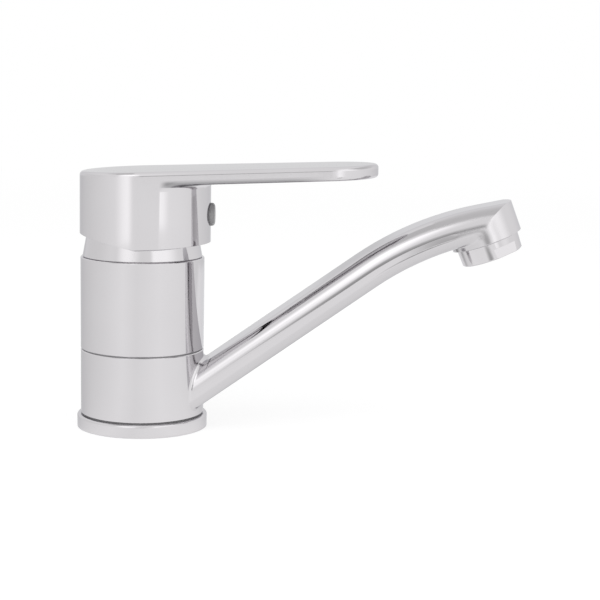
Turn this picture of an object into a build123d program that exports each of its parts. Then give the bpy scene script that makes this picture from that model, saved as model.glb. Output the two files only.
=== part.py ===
from build123d import *
import math
import os

# Single-lever kitchen faucet with a low swivel spout.
# Millimetres. The deck is z = 0, the swivel axis is Z, the spout and the lever point along +X.

# Base, swivel collar and body share one axis
body_radius = 25.0
base_ring_lip = 1.5
base_ring_height = 5.3
base_ring_rounding = 1.0
collar_height = 26.3
body_height = 37.3
glide_thickness = 0.35
glide_inset = 0.5
edge_break = 0.35

# Post that the spout swivels on, cast in one with the body
collar_wall = 7.0
foot_step = 1.0
foot_recess = 0.6
swivel_clearance = 0.05
thread_clearance = 0.05
seal_section = 2.6
seal_corner = 0.7
seal_groove_width = 3.2
seal_groove_inset = 2.6
chamber_depth = 2.5
chamber_land = 7.6
port_radius = 4.0
gasket_inset = 2.0
gasket_width = 3.6
gasket_height = 2.0

# Water connections in the underside
inlet_thread_radius = 4.5
inlet_thread_length = 12.0
inlet_bore_radius = 2.4
stud_hole_radius = 3.4
stud_hole_length = 11.0
stud_hole_inset = 7.5

# Cartridge, stacked up from the floor of the body's pocket
pocket_floor = 5.7
pocket_wall = 5.0
cartridge_clearance = 0.1
cartridge_base_height = 4.0
fixed_disc_height = 4.0
moving_disc_height = 4.0
carrier_height = 4.0
flange_height = 5.7
housing_top = 4.3
neck_height = 10.0
neck_wall = 2.4
housing_wall = 2.7
disc_clearance = 0.1
disc_travel_room = 7.0
flange_clearance = 0.4
turntable_step = 7.0
port_circle_inset = 9.4
port_angle = 50.0
outlet_shift = 2.1
outlet_bore_radius = 3.5
mixing_recess_radius = 8.0
mixing_recess_depth = 2.0
mixing_recess_offset = 2.0
port_seal_width = 1.4
port_seal_height = 1.6

# Retaining nut and dome ring over the cartridge
nut_thread_step = 1.4
nut_bore_clearance = 0.2
nut_collar_step = 0.5
nut_collar_height = 4.0
nut_hex_height = 4.0
nut_hex_inset = 3.5
dome_foot_inset = 0.8
dome_shoulder_inset = 2.4
dome_shoulder_height = 8.6
dome_height = 10.6
dome_rim = 3.3

# Lever linkage inside the cartridge
pivot_above_flange = 7.3
pivot_pin_radius = 2.0
pin_clearance = 0.05
pin_end_gap = 0.4
lift_angle = 20.0
spindle_width = 8.0
spindle_slot_clearance = 0.15
spindle_eye_radius = 5.2
finger_radius = 1.9
ball_radius = 2.6
ball_clearance = 0.25
ball_drop = 13.5
key_length = 13.0
key_width = 10.0
key_height = 3.0
key_clearance = 0.15
slot_room = 0.6

# Handle: a round hub that runs out into a flat lever
hub_overhang = 0.3
hub_wall = 1.5
hub_front_bulge = 2.2
hub_crease_x = 8.5
hub_gap = 5.0
hub_break_x = -1.0
hub_front_rise = 2.6
hub_back_relief = 10.8
hub_ceiling = 6.5
hub_draft = 0.2
lever_narrowing = 5.0
lever_tip_x = 94.8
lever_top = 35.3
lever_rise = 2.3
lever_thickness = 5.55
lever_top_rounding = 1.6
lever_under_rounding = 1.6
under_fillet = 2.2
boss_radius = 7.5
boss_foot = 12.9
socket_depth = 12.0
socket_clearance = 0.05
rib_width = 10.0
screw_radius = 2.5
screw_length = 9.0
screw_key_flats = 2.5
screw_key_depth = 2.5
screw_clearance = 0.05
plug_radius = 4.65
plug_height = 1.7
plug_seat = 1.2
plug_clearance = 0.1
plug_stem_radius = 3.0
plug_stem_length = 3.5
plug_rounding = 1.3
plug_above_body = 17.4

# Spout arm and its tilted outlet head
arm_angle = 35.4
arm_run = 80.3
arm_height = 13.5
bend_radius = 124.0
tip_angle = 12.0
shoulder_radius = 6.9
belly_radius = 4.8
arm_root_fillet = 1.6
head_tilt = 21.0
head_drop = 7.4
head_wall = 2.35
arm_wall = 3.0
waterway_rounding = 2.5
chamber_top = 10.0
chamber_inset = 1.6

# Aerator in the head's threaded mouth
aerator_thread_radius = 12.0
aerator_thread_length = 4.8
aerator_gasket_height = 1.2
aerator_ring_radius = 12.75
aerator_ring_height = 7.1
aerator_taper = 2.4
aerator_wall = 1.2
aerator_lip = 0.9
aerator_lip_height = 1.0
aerator_flats = 23.0
aerator_flats_height = 4.2
aerator_flats_turn = -64.0
aerator_edge = 0.4
insert_clearance = 0.1
cell_pitch = 2.9
cell_radius = 1.35
cell_rings = 3
cell_depth = 4.5
jet_plate_height = 1.2
jet_count = 12
jet_radius = 0.8
jet_circle = 7.0

# Cutting tools run past the faces that they open, and two sizes this close are one size
overcut = 1.0
same_size = 0.01

# Radii that follow from the body's
base_ring_radius = body_radius + base_ring_lip
post_radius = body_radius - collar_wall
foot_radius = post_radius - foot_step
gasket_inner_radius = foot_radius + gasket_inset
stud_hole_x = stud_hole_inset - post_radius
port_circle_radius = post_radius - port_circle_inset
outlet_x = outlet_shift - port_circle_radius
cartridge_radius = body_radius - pocket_wall
moving_disc_radius = cartridge_radius - disc_travel_room
turntable_radius = cartridge_radius - turntable_step
nut_thread_radius = cartridge_radius + nut_thread_step
nut_collar_radius = cartridge_radius + nut_collar_step
nut_hex_flats = 2 * (nut_collar_radius - nut_hex_inset)
dome_foot_radius = body_radius - dome_foot_inset
dome_shoulder_radius = body_radius - dome_shoulder_inset
dome_hole_radius = nut_collar_radius - dome_rim
hub_radius = body_radius + hub_overhang
hub_front = hub_radius + hub_front_bulge
lever_tip_radius = hub_radius - lever_narrowing

# Heights and clearances that follow from the sizes above
collar_low = base_ring_height + glide_thickness
collar_high = collar_low + collar_height
collar_middle = (collar_low + collar_high) / 2
body_low = collar_high + glide_thickness
body_high = body_low + body_height
floor_z = body_low + pocket_floor
fixed_disc_low = floor_z + cartridge_base_height
moving_disc_low = fixed_disc_low + fixed_disc_height
carrier_low = moving_disc_low + moving_disc_height
flange_low = carrier_low + carrier_height
flange_high = flange_low + flange_height
nut_seat = flange_high + housing_top
neck_high = nut_seat + neck_height
pivot_z = flange_high + pivot_above_flange
collar_bore = post_radius + swivel_clearance
cartridge_bore = cartridge_radius + cartridge_clearance
housing_bore = cartridge_radius - housing_wall
turntable_bore = turntable_radius + swivel_clearance
neck_radius = turntable_bore + neck_wall
nut_bore = neck_radius + nut_bore_clearance
inlet_x = port_circle_radius * math.cos(math.radians(port_angle))
inlet_y = port_circle_radius * math.sin(math.radians(port_angle))
rest_swing = lift_angle / 2
ball_x = -ball_drop * math.sin(math.radians(rest_swing))
disc_travel = -2 * ball_x
plug_z = body_high + plug_above_body
spindle_top = body_high + boss_foot + socket_depth - overcut
spindle_face = spindle_width / 2
lever_tip_center = lever_tip_x - lever_tip_radius
head_bore = aerator_thread_radius + thread_clearance
head_radius = head_bore + head_wall

# Bores between body and cartridge. Who stands in front of the spout has hot water on the left, at -Y
inlets = {
    "hot": (inlet_x, -inlet_y, inlet_bore_radius),
    "cold": (inlet_x, inlet_y, inlet_bore_radius),
}
outlet = (outlet_x, 0.0, outlet_bore_radius)
ports = {**inlets, "outlet": outlet}


def rod(radius, low, high, x=0.0, y=0.0):
    base = (Align.CENTER, Align.CENTER, Align.MIN)
    return Pos(x, y, low) * Cylinder(radius, high - low, align=base)


def tube(outer, inner, low, high, x=0.0, y=0.0):
    return rod(outer, low, high, x, y) - rod(inner, low - overcut, high + overcut, x, y)


def block(x_range, y_range, z_range):
    size = [high - low for low, high in (x_range, y_range, z_range)]
    return Pos(x_range[0], y_range[0], z_range[0]) * Box(*size, align=Align.MIN)


def cross_rod(radius, low, high, z):
    # A rod along X, at height z
    return Pos(low, 0, z) * Rot(0, 90, 0) * rod(radius, 0, high - low)


def turned(*points):
    # A solid of revolution from its (radius, height) outline
    outline = make_face(Polyline(*points, close=True))
    return revolve(Plane.XZ * outline, Axis.Z)


def outer_circles(part, radius, height):
    # The circular edges of one radius at one height
    circles = part.edges().filter_by(GeomType.CIRCLE)
    at_height = circles.filter_by(lambda edge: abs(edge.center().Z - height) < same_size)
    return at_height.filter_by(lambda edge: abs(edge.radius - radius) < same_size)


def seal_heights():
    inset = seal_groove_inset + seal_groove_width / 2
    return {"lower": collar_low + inset, "upper": collar_high - inset}


def base_ring():
    ring = tube(base_ring_radius, foot_radius + thread_clearance, 0, base_ring_height)
    ring = fillet(outer_circles(ring, base_ring_radius, base_ring_height), base_ring_rounding)
    outer = gasket_inner_radius + gasket_width
    return ring - tube(outer, gasket_inner_radius, -overcut, gasket_height)


def base_gasket():
    outer = gasket_inner_radius + gasket_width
    return tube(outer, gasket_inner_radius, 0, gasket_height)


def glide_ring(low):
    return tube(body_radius - glide_inset, collar_bore + glide_inset, low, low + glide_thickness)


def post_seal(height):
    # A sealing ring of eight-sided section that fills its groove out to the post's face
    half = seal_section / 2
    ring = tube(post_radius, post_radius - seal_section, height - half, height + half)
    return chamfer(ring.edges().filter_by(lambda edge: edge.is_closed), seal_corner)


def body():
    nut_thread_bore = nut_thread_radius + thread_clearance
    casting = turned(
        (0, foot_recess),
        (foot_radius, foot_recess),
        (foot_radius, base_ring_height),
        (post_radius, base_ring_height),
        (post_radius, body_low),
        (body_radius, body_low),
        (body_radius, body_high),
        (nut_thread_bore, body_high),
        (nut_thread_bore, nut_seat - overcut),
        (cartridge_bore, nut_seat - overcut),
        (cartridge_bore, floor_z),
        (0, floor_z),
    )
    for rim_z in (body_low, body_high):
        casting = chamfer(outer_circles(casting, body_radius, rim_z), edge_break)
    groove_floor = post_radius - seal_section
    half_groove = seal_groove_width / 2
    for height in seal_heights().values():
        casting -= tube(post_radius + overcut, groove_floor, height - half_groove, height + half_groove)
    thread_top = foot_recess + inlet_thread_length
    for x, y, radius in inlets.values():
        casting -= rod(radius, foot_recess, floor_z + overcut, x, y)
        casting -= rod(inlet_thread_radius, foot_recess - overcut, thread_top, x, y)
    casting -= rod(outlet_bore_radius, collar_middle - port_radius, floor_z + overcut, outlet_x)
    casting -= cross_rod(port_radius, -post_radius - overcut, outlet_x, collar_middle)
    stud_top = foot_recess + stud_hole_length
    return casting - rod(stud_hole_radius, foot_recess - overcut, stud_top, stud_hole_x)


def cartridge_base():
    plate = rod(cartridge_radius, floor_z, fixed_disc_low)
    for x, y, radius in ports.values():
        plate -= rod(radius, floor_z - overcut, fixed_disc_low + overcut, x, y)
        seat = radius + port_seal_width
        plate -= rod(seat, floor_z - overcut, floor_z + port_seal_height, x, y)
        plate -= rod(seat, fixed_disc_low - port_seal_height, fixed_disc_low + overcut, x, y)
    return plate


def port_seal(port, low):
    x, y, radius = ports[port]
    return tube(radius + port_seal_width, radius, low, low + port_seal_height, x, y)


def cartridge_housing():
    shell = rod(cartridge_radius, fixed_disc_low, nut_seat)
    shell = chamfer(outer_circles(shell, cartridge_radius, nut_seat), edge_break)
    shell += rod(neck_radius, nut_seat, neck_high)
    shell = chamfer(outer_circles(shell, neck_radius, neck_high), edge_break)
    shell -= rod(housing_bore, fixed_disc_low - overcut, flange_high)
    return shell - rod(turntable_bore, flange_high - overcut, neck_high + overcut)


def fixed_disc():
    disc = rod(housing_bore - disc_clearance, fixed_disc_low, moving_disc_low)
    for x, y, radius in ports.values():
        disc -= rod(radius, fixed_disc_low - overcut, moving_disc_low + overcut, x, y)
    return disc


def moving_disc():
    disc = rod(moving_disc_radius, moving_disc_low, carrier_low, ball_x)
    recess_x = ball_x - mixing_recess_offset
    recess_top = moving_disc_low + mixing_recess_depth
    return disc - rod(mixing_recess_radius, moving_disc_low - overcut, recess_top, recess_x)


def disc_carrier():
    half_length = key_length / 2
    half_width = key_width / 2
    key_high = flange_low + key_height
    carrier = rod(moving_disc_radius, carrier_low, flange_low, ball_x)
    x_range = (ball_x - half_length, ball_x + half_length)
    carrier += block(x_range, (-half_width, half_width), (flange_low, key_high))
    socket_floor = pivot_z - ball_drop - ball_radius - ball_clearance
    return carrier - rod(ball_radius + ball_clearance, socket_floor, key_high + overcut, ball_x)


def turntable():
    turret = rod(housing_bore - flange_clearance, flange_low, flange_high)
    turret += rod(turntable_radius, flange_high, neck_high)
    swing = math.radians(lift_angle)
    above_pivot = neck_high - pivot_z
    back = spindle_face / math.cos(swing) + above_pivot * math.tan(swing) + slot_room
    front = spindle_eye_radius + slot_room
    half_width = spindle_face + spindle_slot_clearance
    below = flange_low - overcut
    turret -= block((-back, front), (-half_width, half_width), (below, neck_high + overcut))
    key_half = key_width / 2 + key_clearance
    key_reach = (key_length + disc_travel) / 2 + slot_room
    key_high = flange_low + key_height + slot_room
    turret -= block((-key_reach, key_reach), (-key_half, key_half), (below, key_high))
    return turret - pivot_rod(pivot_pin_radius + pin_clearance, 4 * turntable_radius)


def pivot_rod(radius, length):
    # A rod along Y, centred on the lever's pivot
    return Pos(0, 0, pivot_z) * Rot(90, 0, 0) * Cylinder(radius, length)


def pivot_pin():
    pin = pivot_rod(pivot_pin_radius, 2 * (turntable_radius - pin_end_gap))
    return chamfer(pin.edges().filter_by(GeomType.CIRCLE), edge_break)


def spindle():
    half = spindle_face
    shank = block((-half, half), (-half, half), (pivot_z, spindle_top))
    shank = chamfer(shank.faces().sort_by(Axis.Z)[-1].edges(), edge_break)
    shank += pivot_rod(spindle_eye_radius, spindle_width)
    finger = rod(finger_radius, -ball_drop, 0) + Pos(0, 0, -ball_drop) * Sphere(ball_radius)
    shank += Pos(0, 0, pivot_z) * Rot(0, rest_swing, 0) * finger
    return shank - pivot_rod(pivot_pin_radius + pin_clearance, 2 * spindle_width)


def retaining_nut():
    nut = rod(nut_thread_radius, nut_seat, body_high)
    collar_top = body_high + nut_collar_height
    nut += rod(nut_collar_radius, body_high, collar_top)
    hexagon = RegularPolygon(nut_hex_flats / 2, 6, major_radius=False)
    nut += extrude(Pos(0, 0, collar_top) * hexagon, nut_hex_height)
    return nut - rod(nut_bore, nut_seat - overcut, collar_top + nut_hex_height + overcut)


def dome_ring():
    inner = nut_collar_radius + thread_clearance
    ceiling = body_high + nut_collar_height + nut_hex_height + thread_clearance
    top = body_high + dome_height
    dome = turned(
        (inner, body_high),
        (dome_foot_radius, body_high),
        (dome_shoulder_radius, body_high + dome_shoulder_height),
        (dome_shoulder_radius - (dome_height - dome_shoulder_height), top),
        (dome_hole_radius, top),
        (dome_hole_radius, ceiling),
        (inner, ceiling),
    )
    return chamfer(outer_circles(dome, dome_foot_radius, body_high), edge_break)


def lever_slope():
    # Angle between the lever's sides and its middle line
    return math.asin((hub_radius - lever_tip_radius) / lever_tip_center)


def lever_outline():
    # A round hub and a round tip joined by their common tangents
    along = math.sin(lever_slope())
    aside = math.cos(lever_slope())
    hub_x, hub_y = hub_radius * along, hub_radius * aside
    tip_x, tip_y = lever_tip_center + lever_tip_radius * along, lever_tip_radius * aside
    back = ThreePointArc((hub_x, hub_y), (-hub_radius, 0), (hub_x, -hub_y))
    tip = ThreePointArc((tip_x, -tip_y), (lever_tip_x, 0), (tip_x, tip_y))
    sides = [Line((hub_x, -hub_y), (tip_x, -tip_y)), Line((tip_x, tip_y), (hub_x, hub_y))]
    return make_face([back, tip, *sides])


def hub_side(x):
    # Half width of the lever's outline at x, on the common tangent
    return hub_radius / math.cos(lever_slope()) - x * math.tan(lever_slope())


def lever_plane(drop):
    # The lever's top plane, or one that lies a given depth under it
    origin = (0, 0, body_high + lever_top - drop)
    return tilted_plane(origin, lever_rise)


def tilted_plane(origin, angle):
    # A level plane turned nose up, by an angle in degrees
    turn = math.radians(angle)
    along = (math.cos(turn), 0, math.sin(turn))
    return Plane(origin=origin, x_dir=along, z_dir=(-math.sin(turn), 0, math.cos(turn)))


def under_lever():
    # What is cleared away under the lever, in front of the hub's front wall
    side = hub_side(hub_crease_x)
    far = 2 * lever_tip_x
    front = ThreePointArc((hub_crease_x, -side), (hub_front, 0), (hub_crease_x, side))
    frame = Polyline(
        (hub_crease_x, side),
        (hub_crease_x, far),
        (far, far),
        (far, -far),
        (hub_crease_x, -far),
        (hub_crease_x, -side),
    )
    space = extrude(Pos(0, 0, body_high) * make_face([front, frame]), 2 * lever_top)
    space = split(space, bisect_by=lever_plane(lever_thickness), keep=Keep.BOTTOM)
    corner = space.edges().filter_by(GeomType.ELLIPSE)
    return fillet(corner, under_fillet)


def under_run(grip):
    # The one edge that runs down the hub's crease, along the lever's underside and round its tip
    def is_wall(face):
        slant = abs(face.normal_at().Y)
        return face.geom_type == GeomType.CONE or slant > math.cos(math.radians(lift_angle))

    edges = [edge for wall in grip.faces().filter_by(is_wall) for edge in wall.edges()]
    single = ShapeList([edge for edge in edges if edges.count(edge) == 1])
    under = lever_plane(lever_thickness)
    low = single.filter_by(lambda edge: under.to_local_coords(edge.center()).Z < edge_break)
    return low.filter_by(lambda edge: edge.center().Z > body_high + overcut)


def hub_cavity():
    # Inside of the hub: its outline, one wall further in
    side = hub_side(hub_crease_x) - hub_wall
    shift = hub_crease_x - hub_wall
    back = hub_radius - hub_wall
    wall_front = ThreePointArc((shift, -side), (hub_front - hub_wall, 0), (shift, side))
    wall_back = ThreePointArc((0, back), (-back, 0), (0, -back))
    sides = [Line((shift, side), (0, back)), Line((0, -back), (shift, -side))]
    outline = make_face([wall_front, wall_back, *sides])
    cavity = extrude(Pos(0, 0, body_high - overcut) * outline, 2 * lever_top)
    return split(cavity, bisect_by=lever_plane(hub_ceiling), keep=Keep.BOTTOM)


def hub_foot():
    # The hub's lower edge: nearly level in front, relieved at the back so that the lever can lift
    far = 2 * lever_tip_x
    edge_z = body_high + hub_gap
    back_z = edge_z + (far + hub_break_x) * math.tan(math.radians(hub_back_relief))
    front_z = edge_z + (far - hub_break_x) * math.tan(math.radians(hub_front_rise))
    edge = [(-far, back_z), (hub_break_x, edge_z), (far, front_z)]
    outline = Polyline((-far, 0), *edge, (far, 0), close=True)
    return extrude(Plane.XZ * make_face(outline), far, both=True)


def handle():
    tall = 2 * lever_top
    grip = extrude(Pos(0, 0, body_high) * lever_outline(), tall, taper=hub_draft)
    grip = split(grip, bisect_by=lever_plane(0), keep=Keep.BOTTOM)
    top_face = grip.faces().sort_by(Axis.Z)[-1]
    grip = fillet(top_face.edges(), lever_top_rounding)
    grip -= under_lever()
    grip = fillet(under_run(grip), lever_under_rounding)
    grip -= hub_foot()
    grip -= hub_cavity()
    boss_low = body_high + boss_foot
    boss_high = body_high + lever_top - hub_ceiling + overcut
    half_rib = rib_width / 2
    rib = block((0, hub_front - hub_wall / 2), (-half_rib, half_rib), (boss_low, boss_high))
    grip += rod(boss_radius, boss_low, boss_high) + rib
    half_socket = spindle_face + socket_clearance
    socket = (-half_socket, half_socket)
    grip -= block(socket, socket, (boss_low - overcut, boss_low + socket_depth))
    out = hub_front + overcut
    grip -= cross_rod(screw_radius + screw_clearance, 0, out, plug_z)
    grip -= cross_rod(plug_stem_radius + plug_clearance, screw_end() + screw_clearance, out, plug_z)
    return grip - cross_rod(plug_radius + plug_clearance, hub_front - plug_seat, out, plug_z)


def screw_end():
    return spindle_face + screw_length


def grub_screw():
    screw = cross_rod(screw_radius, spindle_face, screw_end(), plug_z)
    hexagon = RegularPolygon(screw_key_flats / 2, 6, major_radius=False)
    key = extrude(hexagon, screw_key_depth + overcut)
    return screw - Pos(screw_end() - screw_key_depth, 0, plug_z) * Rot(0, 90, 0) * key


def index_plug():
    crown = plug_seat + plug_height
    plug = rod(plug_radius, 0, crown)
    plug = fillet(outer_circles(plug, plug_radius, crown), plug_rounding)
    plug += rod(plug_stem_radius, -plug_stem_length, 0)
    return Pos(hub_front - plug_seat, 0, plug_z) * Rot(0, 90, 0) * plug


def arm_direction():
    angle = math.radians(arm_angle)
    return Vector(math.cos(angle), 0, math.sin(angle))


def arm_path(setback):
    # Straight run out of the collar, one bend, and a short run across the head
    root = Vector(body_radius, 0, collar_middle)
    start = root - arm_direction() * setback
    bend_start = root + arm_direction() * arm_run
    flat = Plane.XZ
    run = Line(flat.to_local_coords(start), flat.to_local_coords(bend_start))
    bend = JernArc(run @ 1, run % 1, bend_radius, tip_angle - arm_angle)
    across = Line(bend @ 1, (bend @ 1) + (bend % 1) * (2 * head_radius))
    return flat * Wire([run.edge(), bend.edge(), across.edge()]), flat.from_local_coords(bend @ 1)


def arm_section(width, height, upper, lower):
    rectangle = Rectangle(width, height)
    rows = rectangle.vertices().group_by(Axis.Y)
    rectangle = fillet(rows[-1], upper)
    return fillet(rectangle.vertices().group_by(Axis.Y)[0], lower)


def arm_sweep(section, setback):
    path, head_point = arm_path(setback)
    start = Plane(origin=path @ 0, x_dir=(0, 1, 0), z_dir=path % 0)
    return sweep(start * section, path=path), head_point


def head_plane(origin, drop):
    # Square to the outlet, a given distance down the head's axis
    return tilted_plane(origin, head_tilt).offset(-drop)


def rim_plane():
    head_point = arm_path(0)[1]
    return head_plane(head_point, head_drop)


def head_prism(head_point, radius):
    # The arm's plan: wide open along the arm, round about the head's axis
    reach = arm_run + bend_radius
    plan = Circle(radius) + Pos(-reach / 2, 0) * Rectangle(reach, 2 * head_radius)
    return extrude(head_plane(head_point, 0) * plan, reach, both=True)


def spout():
    section = arm_section(2 * head_radius, arm_height, shoulder_radius, belly_radius)
    arm, head_point = arm_sweep(section, body_radius / 2)
    arm &= head_prism(head_point, head_radius)
    rim = rim_plane().location
    arm += rim * rod(head_radius, 0, head_drop)
    arm -= rim * rod(head_radius + overcut, -head_radius, 0)
    arm = split(arm, bisect_by=Plane.XY.offset(collar_low), keep=Keep.TOP)
    casting = arm + rod(body_radius, collar_low, collar_high)
    casting = fillet(root_edges(casting), arm_root_fillet)
    for rim_z in (collar_low, collar_high):
        casting = chamfer(outer_circles(casting, body_radius, rim_z), edge_break)
    return casting - spout_waterway(rim)


def root_edges(casting):
    # Where the arm meets the collar's wall, between the collar's two rims
    def on_wall(edge):
        points = [edge @ share for share in (0, 0.5, 1)]
        radial = all(abs(math.hypot(point.X, point.Y) - body_radius) < same_size for point in points)
        clear = all(collar_low + overcut < point.Z < collar_high - overcut for point in points)
        return radial and clear and points[1].X > 0

    return casting.edges().filter_by(on_wall)


def spout_waterway(rim):
    # Swivel bore, the chamber round it, the arm's channel and the outlet's mouth
    bore = rod(collar_bore, collar_low - overcut, collar_high + overcut)
    bore += rod(collar_bore + chamber_depth, collar_low + chamber_land, collar_high - chamber_land)
    half_width = head_radius - arm_wall
    height = arm_height - 2 * arm_wall
    section = arm_section(2 * half_width, height, waterway_rounding, waterway_rounding)
    channel, head_point = arm_sweep(section, (body_radius - collar_bore) / 2)
    channel &= head_prism(head_point, half_width)
    entry_half = half_width / 2
    entry_z = (collar_middle - height / 2, collar_middle + height / 2)
    entry = block((0, body_radius), (-entry_half, entry_half), entry_z)
    mouth = rod(head_bore, -overcut, aerator_thread_length + aerator_gasket_height)
    chamber = rod(head_bore - chamber_inset, 0, chamber_top)
    return bore + entry + channel + rim * (mouth + chamber)


def aerator_bore():
    return aerator_thread_radius - aerator_wall


def aerator_housing():
    low = -aerator_ring_height
    lip_top = low + aerator_lip_height
    foot_radius_low = aerator_ring_radius + low * math.tan(math.radians(aerator_taper))
    inner = aerator_bore()
    sleeve = turned(
        (inner, aerator_thread_length),
        (aerator_thread_radius, aerator_thread_length),
        (aerator_thread_radius, 0),
        (aerator_ring_radius, 0),
        (foot_radius_low, low),
        (inner - aerator_lip, low),
        (inner - aerator_lip, lip_top),
        (inner, lip_top),
    )
    sleeve = chamfer(outer_circles(sleeve, aerator_ring_radius, 0), aerator_edge)
    sleeve = chamfer(outer_circles(sleeve, foot_radius_low, low), aerator_edge)
    half = aerator_flats / 2
    wide = 2 * aerator_ring_radius
    spanner = (low - overcut, low + aerator_flats_height)
    for x_range in ((half, wide), (-wide, -half)):
        sleeve -= Rot(0, 0, aerator_flats_turn) * block(x_range, (-wide, wide), spanner)
    return rim_plane().location * sleeve


def honeycomb(rings):
    # Centres of a six-sided pattern, ring by ring
    row_step = cell_pitch * math.sqrt(3) / 2
    span = range(-rings, rings + 1)
    cells = [(column, row) for column in span for row in span if abs(column + row) <= rings]
    return [(cell_pitch * (column + row / 2), row_step * row) for column, row in cells]


def insert_levels():
    # Bottom of the insert on the housing's lip, and its top under the jet plate
    low = aerator_lip_height - aerator_ring_height
    return low, aerator_thread_length - jet_plate_height


def aerator_insert():
    low, high = insert_levels()
    insert = rod(aerator_bore() - insert_clearance, low, high)
    cells = Sketch() + [Pos(x, y, low) * RegularPolygon(cell_radius, 6) for x, y in honeycomb(cell_rings)]
    insert -= extrude(cells, cell_depth)
    return rim_plane().location * insert


def jet_plate():
    low = insert_levels()[1]
    plate = rod(aerator_bore() - insert_clearance, low, aerator_thread_length)
    for spot in PolarLocations(jet_circle, jet_count):
        plate -= spot * rod(jet_radius, low - overcut, aerator_thread_length + overcut)
    return rim_plane().location * plate


def aerator_gasket():
    low = aerator_thread_length
    inner = aerator_bore() - aerator_lip
    gasket = tube(head_bore - insert_clearance, inner, low, low + aerator_gasket_height)
    return rim_plane().location * gasket


nodes = {
    "base_ring": base_ring(),
    "base_gasket": base_gasket(),
    "body": body(),
    "lower_glide_ring": glide_ring(base_ring_height),
    "upper_glide_ring": glide_ring(collar_high),
    "cartridge_base": cartridge_base(),
    "cartridge_housing": cartridge_housing(),
    "fixed_disc": fixed_disc(),
    "moving_disc": moving_disc(),
    "disc_carrier": disc_carrier(),
    "turntable": turntable(),
    "pivot_pin": pivot_pin(),
    "spindle": spindle(),
    "retaining_nut": retaining_nut(),
    "dome_ring": dome_ring(),
    "handle": handle(),
    "grub_screw": grub_screw(),
    "index_plug": index_plug(),
    "spout": spout(),
    "aerator_housing": aerator_housing(),
    "aerator_insert": aerator_insert(),
    "jet_plate": jet_plate(),
    "aerator_gasket": aerator_gasket(),
}
for place, height in seal_heights().items():
    nodes[f"{place}_o_ring"] = post_seal(height)
for port in ports:
    nodes[f"{port}_port_seal"] = port_seal(port, floor_z)
    nodes[f"{port}_disc_seal"] = port_seal(port, fixed_disc_low - port_seal_height)

os.makedirs("parts", exist_ok=True)
for name, solid in nodes.items():
    export_step(solid, f"parts/{name}.step")
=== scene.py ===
import math
import bmesh
import bpy
from mathutils import Matrix, Vector


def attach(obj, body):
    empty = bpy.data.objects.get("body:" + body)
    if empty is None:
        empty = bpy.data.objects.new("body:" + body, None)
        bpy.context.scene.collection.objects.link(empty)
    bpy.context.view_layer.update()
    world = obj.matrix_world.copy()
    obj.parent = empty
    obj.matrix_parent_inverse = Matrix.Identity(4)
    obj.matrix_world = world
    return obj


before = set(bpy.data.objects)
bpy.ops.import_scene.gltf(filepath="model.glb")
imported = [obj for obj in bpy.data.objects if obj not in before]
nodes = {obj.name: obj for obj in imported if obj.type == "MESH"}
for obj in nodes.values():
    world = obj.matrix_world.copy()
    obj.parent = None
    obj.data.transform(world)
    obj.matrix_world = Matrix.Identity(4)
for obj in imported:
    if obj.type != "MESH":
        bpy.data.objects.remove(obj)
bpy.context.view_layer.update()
scene = bpy.context.scene


class Wire:
    # one socket of a node tree, with arithmetic that adds Math nodes
    def __init__(self, tree, socket=None):
        self.tree = tree
        self.socket = socket

    def node(self, kind, settings=None, inputs=None, output=0):
        made = self.tree.nodes.new(kind)
        for key, value in (settings or {}).items():
            if key == "stops":
                self.fillRamp(made.color_ramp, value)
            else:
                setattr(made, key, value)
        for key, value in (inputs or {}).items():
            if isinstance(value, Wire):
                self.tree.links.new(value.socket, made.inputs[key])
            else:
                made.inputs[key].default_value = value
        return Wire(self.tree, made.outputs[output] if len(made.outputs) else None)

    def fillRamp(self, ramp, stops):
        while len(ramp.elements) < len(stops):
            ramp.elements.new(1.0)
        for element, (place, colour) in zip(ramp.elements, stops):
            element.position = place
            element.color = colour

    def math(self, operation, *values):
        return self.node("ShaderNodeMath", {"operation": operation}, dict(enumerate(values)))

    def vector(self, operation, *values):
        return self.node("ShaderNodeVectorMath", {"operation": operation}, dict(enumerate(values)))

    def __add__(self, other): return self.math("ADD", self, other)
    def __radd__(self, other): return self.math("ADD", other, self)
    def __sub__(self, other): return self.math("SUBTRACT", self, other)
    def __rsub__(self, other): return self.math("SUBTRACT", other, self)
    def __mul__(self, other): return self.math("MULTIPLY", self, other)
    def __rmul__(self, other): return self.math("MULTIPLY", other, self)

    def blend(self, factor, first, second):
        inputs = {0: factor, 6: rgba(first), 7: rgba(second)}   # 6 and 7 are its colour sockets
        return self.node("ShaderNodeMix", {"data_type": "RGBA"}, inputs, 2)

    def mixShaders(self, factor, first, second):
        return self.node("ShaderNodeMixShader", {}, {0: factor, 1: first, 2: second})

    def glow(self, colour, strength):
        return self.node("ShaderNodeEmission", {}, {"Color": rgba(colour), "Strength": strength})

    def show(self, shader):
        self.node("ShaderNodeOutputMaterial", {}, {"Surface": shader})

    def other(self, name):
        return Wire(self.tree, self.socket.node.outputs[name])


def rgba(colour):
    return colour if isinstance(colour, Wire) else (*colour, 1.0)


def startTree(owner):
    owner.use_nodes = True
    owner.node_tree.nodes.clear()
    return Wire(owner.node_tree)


def startMaterial(name):
    material = bpy.data.materials.new(name)
    return material, startTree(material)


def partCoordinates(t):
    # a node's object sits at the origin, so these are metres in the part's own frame
    return t.node("ShaderNodeTexCoord").other("Object")


def split(t, vector):
    # the first output is X
    return t.node("ShaderNodeSeparateXYZ", {}, {0: vector})


def fadeIn(t, value, start, end):
    # smooth step from 0 at start to 1 at end; start may be the larger one
    return t.node("ShaderNodeMapRange", {"interpolation_type": "SMOOTHSTEP"},
                  {"Value": value, "From Min": start, "From Max": end})


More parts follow.
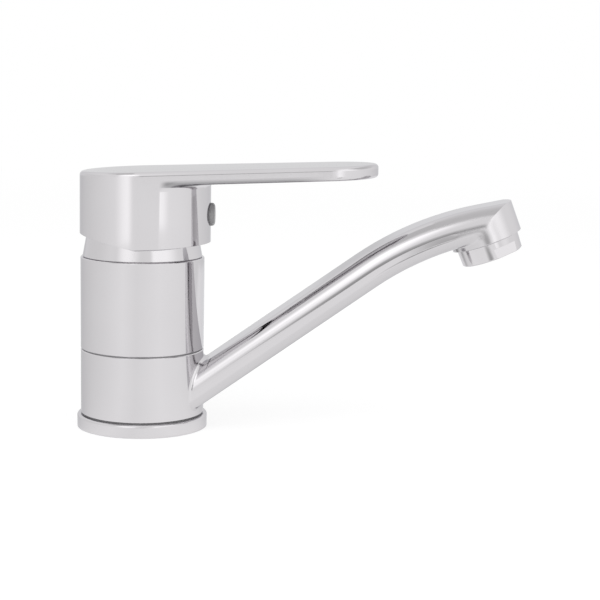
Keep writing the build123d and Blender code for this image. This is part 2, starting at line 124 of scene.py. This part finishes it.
# camera, where the photograph was taken from
cameraSet = {
    "place": (0.06407, -0.60745, 0.14321),
    "pitch": 8.479,        # degrees down
    "roll": 1.016,         # degrees, picture turned clockwise
    "focalPixels": 1509.06,
    "imagePixels": 600,
    "sensor": 36.0,
    "nearest": 0.01,
}


def placeCamera(s):
    data = bpy.data.cameras.new("camera")
    data.sensor_width = s["sensor"]
    data.lens = s["focalPixels"] * s["sensor"] / s["imagePixels"]
    data.clip_start = s["nearest"]
    camera = bpy.data.objects.new("camera", data)
    tilt = Matrix.Rotation(math.radians(90 - s["pitch"]), 4, "X")
    turn = Matrix.Rotation(math.radians(s["roll"]), 4, "Z")
    camera.matrix_world = Matrix.Translation(s["place"]) @ tilt @ turn
    scene.collection.objects.link(camera)
    scene.camera = camera


placeCamera(cameraSet)
print("camera placed")


# studio: white surround, pale floor, soft cards of light and shade
studioSet = {
    "white": (1.0, 1.0, 1.0),
    "ambient": 0.60,                   # the surround's light on matt surfaces
    "floorSize": 6.0,
    "floorColour": (0.86, 0.86, 0.87),
    "floorSeen": (0.38, 0.38, 0.38),   # share of the floor's look that takes shadow
    "floorGlow": 0.742,                # the share that takes none
    "floorFades": (0.5, 1.6),          # metres out, where the floor goes over into the surround
    "floorDrop": 0.0002,
}


def seenDirectly(t):
    # 1 where the eye or a mirror looks, 0 for light that only bounces
    path = t.node("ShaderNodeLightPath")
    seen = t.math("MAXIMUM", path, path.other("Is Glossy Ray"))
    return t.math("MAXIMUM", seen, path.other("Is Transmission Ray"))


def laySheet(name, corners):
    mesh = bpy.data.meshes.new(name)
    mesh.from_pydata(corners, [], [(0, 1, 2, 3)])
    sheet = bpy.data.objects.new(name, mesh)
    scene.collection.objects.link(sheet)
    return sheet


def levelSquare(size, height):
    half = size / 2
    return [(x * half, y * half, height) for x, y in ((-1, -1), (1, -1), (1, 1), (-1, 1))]


def showInMetal(sheet, lightsRoom):
    # kept from the camera and from shadows, and from matt surfaces too unless it lights the room
    sheet.visible_camera = False
    sheet.visible_shadow = False
    sheet.visible_diffuse = lightsRoom


def lightSurround(s):
    world = bpy.data.worlds.new("surround")
    scene.world = world
    t = startTree(world)
    strength = seenDirectly(t) * (1 - s["ambient"]) + s["ambient"]
    glow = t.node("ShaderNodeBackground", {}, {"Color": rgba(s["white"]), "Strength": strength})
    t.node("ShaderNodeOutputWorld", {}, {"Surface": glow})


def layFloor(s):
    floor = laySheet("floor", levelSquare(s["floorSize"], -s["floorDrop"]))
    material, t = startMaterial("paleFloor")
    seen = seenDirectly(t)
    colour = t.blend(seen, s["floorColour"], s["floorSeen"])
    matt = t.node("ShaderNodeBsdfDiffuse", {}, {"Color": colour})
    lit = t.node("ShaderNodeAddShader", {}, {0: matt, 1: t.glow(s["white"], seen * s["floorGlow"])})
    away = t.vector("LENGTH", partCoordinates(t)).other("Value")
    faded = t.mixShaders(seen * fadeIn(t, away, *s["floorFades"]), lit, t.glow(s["white"], 1.0))
    # open from below, so that the foot can be looked at
    fromBelow = t.node("ShaderNodeNewGeometry").other("Backfacing")
    t.show(t.mixShaders(fromBelow, faded, t.node("ShaderNodeBsdfTransparent")))
    floor.data.materials.append(material)


# the lamps leave the ground lighter on some sides: azimuth as on the cards, then the level there
groundTone = {
    "size": 4.0,
    "height": 0.0005,
    "levels": ((-180, 0.94), (-140, 0.87), (-105, 0.89), (-70, 0.97), (-30, 1.09), (-5, 1.02),
               (35, 1.10), (75, 1.05), (120, 0.94), (150, 0.94), (180, 0.94)),
    "most": 2.0,           # level at the ramp's white
}


def toneGround(s):
    ground = laySheet("groundTone", levelSquare(s["size"], s["height"]))
    showInMetal(ground, False)
    material, t = startMaterial("groundTone")
    quarterTurn = (0, 0, math.radians(90))
    spun = t.node("ShaderNodeMapping", {}, {"Vector": partCoordinates(t), "Rotation": quarterTurn})
    around = t.node("ShaderNodeTexGradient", {"gradient_type": "RADIAL"}, {"Vector": spun}, 1)
    stops = [((azimuth + 180) / 360, rgba([level / s["most"]] * 3)) for azimuth, level in s["levels"]]
    t.show(t.glow(t.node("ShaderNodeValToRGB", {"stops": stops}, {"Fac": around}), s["most"]))
    ground.data.materials.append(material)


# each card stands at an azimuth from the camera's side, right of it positive, and faces the faucet;
# swing turns it on its foot, lean tips its top forward, level 1 is the surround's white, and edges are
# the shares that fade out on the left, right, low and high side; most cards show in the metal only
cardUsual = {"swing": 0, "lean": 0.0, "lightsRoom": False}
cards = {
    "leftBox": {"azimuth": -28, "distance": 0.70, "width": 0.46, "low": 0.0, "high": 0.50,
                "level": 1.34, "edges": (0.66, 0.34, 0.02, 0.40), "lightsRoom": True},
    "leftTop": {"azimuth": -22, "distance": 0.85, "width": 0.82, "low": 0.14, "high": 1.22, "lean": 0.15,
                "level": 1.62, "edges": (0.40, 0.42, 0.30, 0.35), "lightsRoom": True},
    "rightBox": {"azimuth": 33, "distance": 0.80, "width": 0.38, "low": 0.0, "high": 0.40,
                 "level": 1.36, "edges": (0.36, 0.62, 0.02, 0.40), "lightsRoom": True},
    "rightTop": {"azimuth": 52, "distance": 0.85, "width": 1.06, "low": 0.06, "high": 1.20, "lean": 0.05,
                 "level": 1.34, "edges": (0.24, 0.55, 0.14, 0.60), "lightsRoom": True},
    "frontShade": {"azimuth": 3, "distance": 2.20, "width": 1.25, "low": 0.0, "high": 0.68,
                   "level": 0.42, "edges": (0.35, 0.35, 0.01, 0.78)},
    "headFlag": {"azimuth": 48.9, "distance": 0.181, "swing": 93.1, "width": 0.080, "low": 0.050, "high": 0.078,
                 "level": 0.57, "edges": (0.45, 0.45, 0.40, 0.40)},
    "outletFlag": {"azimuth": 48.8, "distance": 0.173, "swing": 93.2, "width": 0.064, "low": 0.030, "high": 0.053,
                   "level": 0.50, "edges": (0.45, 0.45, 0.40, 0.40)},
    "leftShade": {"azimuth": -98, "distance": 1.50, "width": 2.60, "low": 0.0, "high": 1.10,
                  "level": 0.90, "edges": (0.40, 0.48, 0.02, 0.40)},
    "backShade": {"azimuth": 164.89, "distance": 2.0716, "swing": 15.11, "width": 1.92, "low": 0.165, "high": 0.315,
                  "level": 0.86, "edges": (0.47, 0.078, 0.20, 0.33)},
    # these four lie level, so their lean is their length towards the faucet
    # painted shade: a dark patch of floor behind the faucet, seen only in the metal
    "backFloorShade": {"azimuth": 180, "distance": 0.72, "width": 0.13, "low": 0.0008, "high": 0.0008, "lean": 0.68,
                "level": 0.36, "edges": (0.46, 0.46, 0.30, 0.10)},
    # painted light: a lighter patch of floor to the right and behind, seen only in the metal
    "rightFloorLight": {"azimuth": 147, "distance": 0.56, "width": 0.40, "low": 0.0008, "high": 0.0008, "lean": 0.46,
                 "level": 1.13, "edges": (0.26, 0.26, 0.18, 0.10)},
    "ceiling": {"azimuth": -90, "distance": 1.00, "width": 1.50, "low": 1.50, "high": 1.50, "lean": 0.78,
                "level": 0.70, "edges": (0.22, 0.28, 0.20, 0.12)},
    "headShade": {"azimuth": 90, "distance": 0.168, "width": 0.09, "low": 0.13, "high": 0.13, "lean": 0.067,
                  "level": 0.72, "edges": (0.20, 0.66, 0.12, 0.05)},
}


def standCard(name, s):
    turn, swung = math.radians(s["azimuth"]), math.radians(s["azimuth"] + s["swing"])
    out = Vector((math.sin(turn), -math.cos(turn), 0))
    side = Vector((math.cos(swung), math.sin(swung), 0)) * s["width"] / 2
    foot = out * s["distance"]
    low, high = Vector((0, 0, s["low"])), Vector((0, 0, s["high"])) - out * s["lean"]
    card = laySheet(name, [foot - side + low, foot + side + low, foot + side + high, foot - side + high])
    showInMetal(card, s["lightsRoom"])
    layer = card.data.uv_layers.new(name="sheet")
    for loop, place in zip(layer.data, ((0, 0), (1, 0), (1, 1), (0, 1))):
        loop.uv = place
    material, t = startMaterial(name)
    across = split(t, t.node("ShaderNodeTexCoord").other("UV"))
    height = across.other("Y")
    left, right, bottom, top = s["edges"]
    body = fadeIn(t, across, 0.0, left) * fadeIn(t, across, 1.0, 1.0 - right)
    body = body * fadeIn(t, height, 0.0, bottom) * fadeIn(t, height, 1.0, 1.0 - top)
    clear = t.node("ShaderNodeBsdfTransparent")
    t.show(t.mixShaders(body, clear, t.glow(studioSet["white"], s["level"])))
    card.data.materials.append(material)


overhead = {"place": (0.05, -0.45, 1.25), "aim": (0.05, -0.10, 0.0), "size": (1.2, 1.0), "watts": 2.4}


def hangSoftBox(name, s):
    data = bpy.data.lights.new(name, "AREA")
    data.shape = "RECTANGLE"
    data.size, data.size_y = s["size"]
    data.energy = s["watts"]
    lamp = bpy.data.objects.new(name, data)
    lamp.location = s["place"]
    lamp.rotation_mode = "QUATERNION"
    lamp.rotation_quaternion = (Vector(s["aim"]) - Vector(s["place"])).to_track_quat("-Z", "Y")
    lamp.visible_camera = False
    lamp.visible_glossy = False
    scene.collection.objects.link(lamp)


lightSurround(studioSet)
layFloor(studioSet)
toneGround(groundTone)
for cardName, cardSet in cards.items():
    standCard(cardName, {**cardUsual, **cardSet})
hangSoftBox("overhead", overhead)
print("studio lit")


# finishes; each noise is given as scale, detail and roughness
def principled(t, inputs):
    t.show(t.node("ShaderNodeBsdfPrincipled", {}, inputs))


def noise(t, where, scale, detail=3.0, rough=0.5):
    return t.node("ShaderNodeTexNoise", {}, {"Vector": where, "Scale": scale, "Detail": detail, "Roughness": rough})


def stretched(t, where, factors):
    return t.vector("MULTIPLY", where, factors)


def bumped(t, height, distance, normal=None):
    inputs = {"Height": height, "Distance": distance}
    if normal is not None:
        inputs["Normal"] = normal
    return t.node("ShaderNodeBump", {}, inputs)


def facingUp(t):
    # 1 where the surface faces up, -1 where it faces down
    return split(t, t.node("ShaderNodeTexCoord").other("Normal")).other("Z")


chromeSet = {
    "dark": (0.621, 0.607, 0.622),
    "pale": (0.661, 0.647, 0.662),
    "cloudNoise": (38.0, 2.0),
    "grazing": (0.76, 0.76, 0.775),   # chrome stays this dull at a flat angle
    "gloss": 0.040,
    "film": 0.035,                    # faint water film and wipe marks
    "filmNoise": (150.0, 4.0, 0.62),
    "hair": 0.012,                    # fine level lines of the buffing wheel
    "hairNoise": (420.0, 2.0),
    "hairStretch": (1.0, 1.0, 14.0),
    "ripple": 0.000012,               # waviness that polishing leaves, in metres
    "rippleNoise": (62.0, 1.0),
    "edgeSoftness": 0.00025,
    "edgeSamples": 6,
    "thin": (0.335, 0.330, 0.340),    # painted shade on edges and sides that face down
    "thinRough": 0.10,
    "bareNoise": (1300.0, 3.0),       # grain where a casting is left unplated
    "bareRough": 0.15,
}


def softEdges(t, where, chrome):
    return t.node("ShaderNodeBevel", {"samples": chrome["edgeSamples"]}, {"Radius": chrome["edgeSoftness"]})


def insideOf(t, where, radius, top):
    # 1 within a radius of the body's axis and below a height, 0 elsewhere
    x = split(t, where)
    y = x.other("Y")
    within = t.math("LESS_THAN", x * x + y * y, radius * radius)
    return within * t.math("LESS_THAN", x.other("Z"), top)


def chromeFinish(name, s, bare=None, dull=None, rounding=softEdges):
    material, t = startMaterial(name)
    where = partCoordinates(t)
    film = noise(t, where, *s["filmNoise"])
    hair = noise(t, stretched(t, where, s["hairStretch"]), *s["hairNoise"])
    colour = t.blend(noise(t, where, *s["cloudNoise"]), s["dark"], s["pale"])
    roughness = s["gloss"] + film * s["film"] + hair * s["hair"]
    normal = bumped(t, noise(t, where, *s["rippleNoise"]), s["ripple"], rounding(t, where, s))
    # painted shade: where the dull mask is set the colour darkens, and the roughness rises too
    if dull is not None:
        thin = dull(t, where)
        colour = t.blend(thin, colour, s["thin"])
        roughness = roughness + thin * s["thinRough"]
    if bare is not None:
        metal = bare["metal"]
        mask = insideOf(t, where, bare["radius"], bare["top"])
        grain = noise(t, where, *s["bareNoise"])
        colour = t.blend(mask, colour, t.blend(grain, metal["dark"], metal["pale"]))
        roughness = roughness * (1 - mask) + mask * (metal["rough"] + grain * s["bareRough"])
        normal = bumped(t, grain * mask, metal["grain"], normal)
    principled(t, {"Base Color": colour, "Metallic": 1.0, "Roughness": roughness, "Normal": normal,
                   "Specular Tint": rgba(s["grazing"])})
    return material


bareBrass = {"dark": (0.50, 0.33, 0.12), "pale": (0.66, 0.46, 0.19), "rough": 0.26, "grain": 0.000025}
castZinc = {"dark": (0.36, 0.36, 0.37), "pale": (0.48, 0.48, 0.49), "rough": 0.42, "grain": 0.00006}
unplated = {
    "body": {"radius": 0.0247, "top": 0.0322, "metal": bareBrass},    # foot, bores and all that the collar covers
    "handle": {"radius": 0.0244, "top": 0.0985, "metal": castZinc},   # the hub's hollow
    "spout": {"radius": 0.0182, "top": 0.033, "metal": bareBrass},    # the collar's chamber
}

# painted shade along the lever's lower edge, above a line that rises with x
leverShadeBand = {
    "height": 0.09935,
    "slope": 0.04016,
    "band": (-0.0010, -0.0004, 0.0006, 0.0023),   # metres above the line: comes in, then goes out
    "start": (0.0085, 0.0125),
    "end": (0.058, 0.082),
    "facing": (-0.995, -0.93),                    # leaves out the flat underside
}


def shadeUnderLever(t, where, s=leverShadeBand):
    # painted shade, darker and rougher, along the rounding of the lever's lower edge
    x = split(t, where)
    above = x.other("Z") - (x * s["slope"] + s["height"])
    lowest, low, high, highest = s["band"]
    band = fadeIn(t, above, highest, high) * fadeIn(t, above, lowest, low)
    edge = fadeIn(t, facingUp(t), *s["facing"])
    length = fadeIn(t, x, *s["start"]) * fadeIn(t, x, s["end"][1], s["end"][0])
    return band * edge * length


# share of painted shade on the arm's side that faces down
armShade = {"facing": (0.02, -0.25), "share": 0.19}


def shadeUnderArm(t, where, s=armShade):
    # painted shade: the arm's lower side is darker than its top, and rougher
    return fadeIn(t, facingUp(t), *s["facing"]) * s["share"]


# the spout's head is a cylinder on a tilted axis, with a crease where the arm runs into it
headRound = {
    "middle": (0.139157, 0.0, 0.0786222),
    "axis": (-0.358368, 0.0, 0.93358),
    "ahead": (0.93358, 0.0, 0.358368),
    "radius": 0.0144,
    "slack": 0.00009,
    "creaseStart": (-0.0150, -0.0090),   # metres ahead of the middle
    "creaseEnd": (0.0020, 0.0062),
    "rim": (0.0002, 0.0036),             # metres up the axis; the rim stays crisp
    "creaseSoftness": 0.0034,
    "samples": 8,
}


def headWall(t, where, chrome, s=headRound):
    # the wall faces straight out from the axis, and the crease beside the arm is well rounded
    out = t.vector("SUBTRACT", where, s["middle"])
    along = t.vector("DOT_PRODUCT", out, s["axis"]).other("Value")
    ahead = t.vector("DOT_PRODUCT", out, s["ahead"]).other("Value")
    lift = t.node("ShaderNodeVectorMath", {"operation": "SCALE"}, {0: s["axis"], "Scale": along})
    flat = t.vector("SUBTRACT", out, lift)
    toWorld = {"vector_type": "NORMAL", "convert_from": "OBJECT", "convert_to": "WORLD"}
    straight = t.node("ShaderNodeVectorTransform", toWorld, {0: flat})
    onWall = t.math("COMPARE", t.vector("LENGTH", flat).other("Value"), s["radius"], s["slack"])
    pastCrease = fadeIn(t, ahead, *s["creaseEnd"])
    nearCrease = fadeIn(t, ahead, *s["creaseStart"]) * (1 - pastCrease) * fadeIn(t, along, *s["rim"])
    softness = chrome["edgeSoftness"] + nearCrease * (s["creaseSoftness"] - chrome["edgeSoftness"])
    soft = t.node("ShaderNodeBevel", {"samples": s["samples"]}, {"Radius": softness})
    inputs = {0: onWall * pastCrease, 4: soft, 5: straight}   # 4 and 5 are its vector sockets
    return t.vector("NORMALIZE", t.node("ShaderNodeMix", {"data_type": "VECTOR"}, inputs, 1))


turnedBrass = {"dark": (0.52, 0.35, 0.13), "pale": (0.68, 0.48, 0.21), "rough": 0.22, "grain": 0.00002}
turnedSteel = {"dark": (0.46, 0.46, 0.47), "pale": (0.60, 0.60, 0.61), "rough": 0.20, "grain": 0.000015}
latheMarks = {"ringNoise": (700.0, 3.0), "ringStretch": (1.0, 1.0, 9.0), "cloudNoise": (90.0, 3.0), "rough": 0.14}


def turnedMetal(name, s, marks=latheMarks):
    # bar stock with the fine rings that a lathe leaves
    material, t = startMaterial(name)
    where = partCoordinates(t)
    rings = noise(t, stretched(t, where, marks["ringStretch"]), *marks["ringNoise"])
    colour = t.blend(noise(t, where, *marks["cloudNoise"]), s["dark"], s["pale"])
    principled(t, {"Base Color": colour, "Metallic": 1.0, "Roughness": s["rough"] + rings * marks["rough"],
                   "Normal": bumped(t, rings, s["grain"])})
    return material


cartridgePlastic = {"dark": (0.50, 0.50, 0.49), "pale": (0.60, 0.60, 0.585), "rough": 0.36,
                    "grainNoise": (900.0, 4.0, 0.6), "grain": 0.00003}
glidePlastic = {"dark": (0.22, 0.22, 0.223), "pale": (0.29, 0.29, 0.294), "rough": 0.42,
                "grainNoise": (1200.0, 4.0, 0.6), "grain": 0.00002}
plugPlastic = {"dark": (0.30, 0.298, 0.302), "pale": (0.38, 0.377, 0.382), "rough": 0.30,
               "grainNoise": (1500.0, 4.0, 0.6), "grain": 0.00002}
aeratorPlastic = {"dark": (0.42, 0.43, 0.44), "pale": (0.52, 0.53, 0.54), "rough": 0.34,
                  "grainNoise": (1000.0, 4.0, 0.6), "grain": 0.00002}
mouldMarks = {"flowNoise": (130.0, 3.0), "rough": 0.16}


def mouldedPlastic(name, s, marks=mouldMarks):
    # spark-eroded mould texture with slight flow marks in the colour
    material, t = startMaterial(name)
    where = partCoordinates(t)
    grain = noise(t, where, *s["grainNoise"])
    colour = t.blend(noise(t, where, *marks["flowNoise"]), s["dark"], s["pale"])
    principled(t, {"Base Color": colour, "Roughness": s["rough"] + grain * marks["rough"],
                   "Normal": bumped(t, grain, s["grain"])})
    return material


ceramicSet = {"dark": (0.72, 0.70, 0.66), "pale": (0.86, 0.85, 0.82), "rough": 0.18, "speckRough": 0.12,
              "speckNoise": (1600.0, 2.0), "cloudNoise": (180.0, 3.0), "speckShare": 0.3, "grain": 0.000004}


def firedCeramic(name, s):
    material, t = startMaterial(name)
    where = partCoordinates(t)
    speck = noise(t, where, *s["speckNoise"])
    cloud = noise(t, where, *s["cloudNoise"])
    colour = t.blend(cloud * (1 - s["speckShare"]) + speck * s["speckShare"], s["dark"], s["pale"])
    principled(t, {"Base Color": colour, "Roughness": s["rough"] + speck * s["speckRough"],
                   "Normal": bumped(t, speck, s["grain"])})
    return material


rubberSet = {"dark": (0.018, 0.018, 0.019), "pale": (0.045, 0.045, 0.047), "rough": 0.55, "grainRough": 0.2,
             "grainNoise": (1100.0, 4.0, 0.65), "bloomNoise": (75.0, 4.0, 0.6), "grain": 0.00003}


def sealRubber(name, s):
    # moulded rubber with a faint pale bloom
    material, t = startMaterial(name)
    where = partCoordinates(t)
    grain = noise(t, where, *s["grainNoise"])
    colour = t.blend(noise(t, where, *s["bloomNoise"]), s["dark"], s["pale"])
    principled(t, {"Base Color": colour, "Roughness": s["rough"] + grain * s["grainRough"],
                   "Normal": bumped(t, grain, s["grain"])})
    return material


finishes = {
    "chrome": chromeFinish("polishedChrome", chromeSet),
    "brass": turnedMetal("turnedBrass", turnedBrass),
    "steel": turnedMetal("turnedSteel", turnedSteel),
    "cartridge_plastic": mouldedPlastic("cartridgePlastic", cartridgePlastic),
    "ceramic": firedCeramic("firedCeramic", ceramicSet),
    "rubber": sealRubber("sealRubber", rubberSet),
    "glide_plastic": mouldedPlastic("glidePlastic", glidePlastic),
    "plug_plastic": mouldedPlastic("plugPlastic", plugPlastic),
    "aerator_plastic": mouldedPlastic("aeratorPlastic", aeratorPlastic),
}
ownFinishes = {
    "body": chromeFinish("chromeOverBrass", chromeSet, unplated["body"]),
    "handle": chromeFinish("chromeOverZinc", chromeSet, unplated["handle"], shadeUnderLever),
    "spout": chromeFinish("chromeOnSpout", chromeSet, unplated["spout"], shadeUnderArm, headWall),
}
for nodeName, node in nodes.items():
    slotName = node.material_slots[0].material.name.split(".")[0]
    node.data.materials[0] = ownFinishes.get(nodeName) or finishes[slotName]
print("finishes set on", len(nodes), "nodes")


# threads that are seen from below, in the body's foot
threads = {
    "hotInletThread": {"at": (0.005528, -0.006588), "bore": 0.0045, "pitch": 0.0010, "depth": 0.00042,
                       "low": 0.0012, "high": 0.0118},
    "coldInletThread": {"at": (0.005528, 0.006588), "bore": 0.0045, "pitch": 0.0010, "depth": 0.00042,
                        "low": 0.0012, "high": 0.0118},
    "studThread": {"at": (-0.0105, 0.0), "bore": 0.0034, "pitch": 0.00125, "depth": 0.00050,
                   "low": 0.0013, "high": 0.0108},
}
threadForm = {
    "steps": 40,         # faces in one turn
    "bite": 0.00006,     # metres that the root goes into the wall
    "runOut": 0.4,       # turns over which each end fades
    "crest": 0.06,       # half of the crest's flat, in pitches
    "flank": 0.40,       # height of one flank, in pitches
    "corners": 4,        # of the section: two at the root, two at the crest
}


def cutThread(name, s, form=threadForm):
    steps, corners = form["steps"], form["corners"]
    count = int((s["high"] - s["low"]) / s["pitch"] * steps)
    runOut = steps * form["runOut"]
    seat, flat = s["bore"] + form["bite"], s["pitch"] * form["crest"]
    points, faces = [], []
    for i in range(count + 1):
        angle = 2 * math.pi * i / steps
        middle = s["low"] + s["pitch"] * i / steps
        fade = min(1.0, i / runOut, (count - i) / runOut)
        crest = s["bore"] - s["depth"] * fade
        half = s["pitch"] * (form["crest"] + form["flank"] * fade)
        for radius, rise in ((seat, -half), (crest, -flat), (crest, flat), (seat, half)):
            x, y = s["at"][0] + radius * math.cos(angle), s["at"][1] + radius * math.sin(angle)
            points.append((x, y, middle + rise))
    for i in range(count):
        for k in range(corners):
            a, b = corners * i + k, corners * i + (k + 1) % corners
            faces.append((a, b, b + corners, a + corners))
    faces.append(tuple(reversed(range(corners))))
    faces.append(tuple(corners * count + k for k in range(corners)))
    mesh = bpy.data.meshes.new(name)
    mesh.from_pydata(points, [], faces)
    mesh.materials.append(finishes["brass"])
    surface = bmesh.new()
    surface.from_mesh(mesh)
    bmesh.ops.recalc_face_normals(surface, faces=surface.faces)
    surface.to_mesh(mesh)
    surface.free()
    thread = bpy.data.objects.new(name, mesh)
    scene.collection.objects.link(thread)
    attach(thread, "faucet_body")


for threadName, threadSet in threads.items():
    cutThread(threadName, threadSet)
print("threads cut")

scene.view_settings.view_transform = "Standard"
